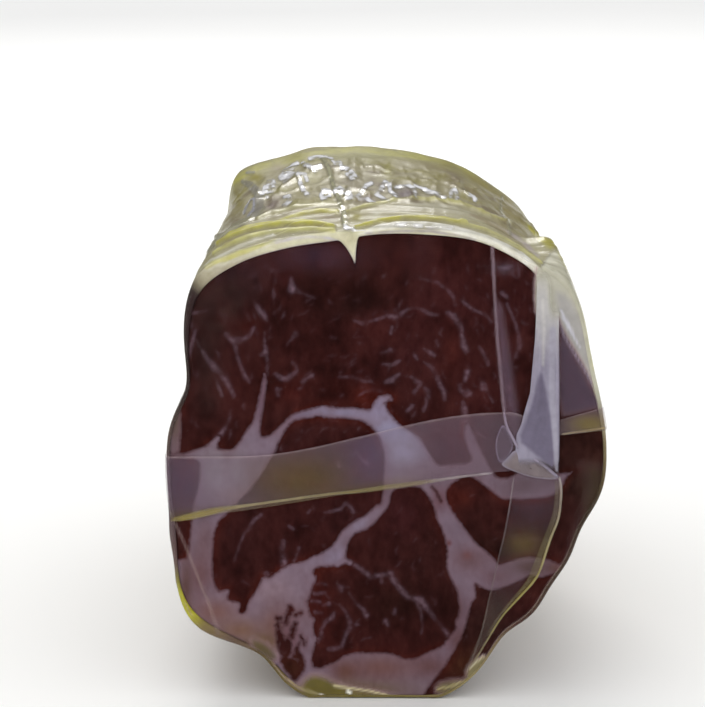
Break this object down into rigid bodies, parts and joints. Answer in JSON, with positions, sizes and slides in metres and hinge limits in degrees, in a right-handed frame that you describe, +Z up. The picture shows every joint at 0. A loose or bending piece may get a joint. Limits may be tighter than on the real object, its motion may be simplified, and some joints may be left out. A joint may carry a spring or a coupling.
{
  "type": "half coppa",
  "caption": "Half a cured coppa lying on its side, cut face to the front, in its natural casing and wrapped tight in clear film with an overlap and a gathered pleat.",
  "frame": {"origin": "under the middle of the part, on the surface that it lies on", "axes": "+Z up; the cut face looks along -Y and the uncut, domed end lies at +Y; +X is to the right seen from the cut face"},
  "size_m": [0.1009, 0.139, 0.1121],
  "materials": {
    "meat": "cut cured meat, dark red with pale fat, slightly moist",
    "casing": "wrinkled natural casing over pale fat, yellowish",
    "film": "clear cling film, glossy",
    "folded_film": "doubled and gathered cling film, milky"
  },
  "bodies": {
    "root": {"meat": "meat", "casing": "casing", "film": "film", "film_band": "folded_film", "film_pleat": "folded_film"}
  },
  "joints": []
}
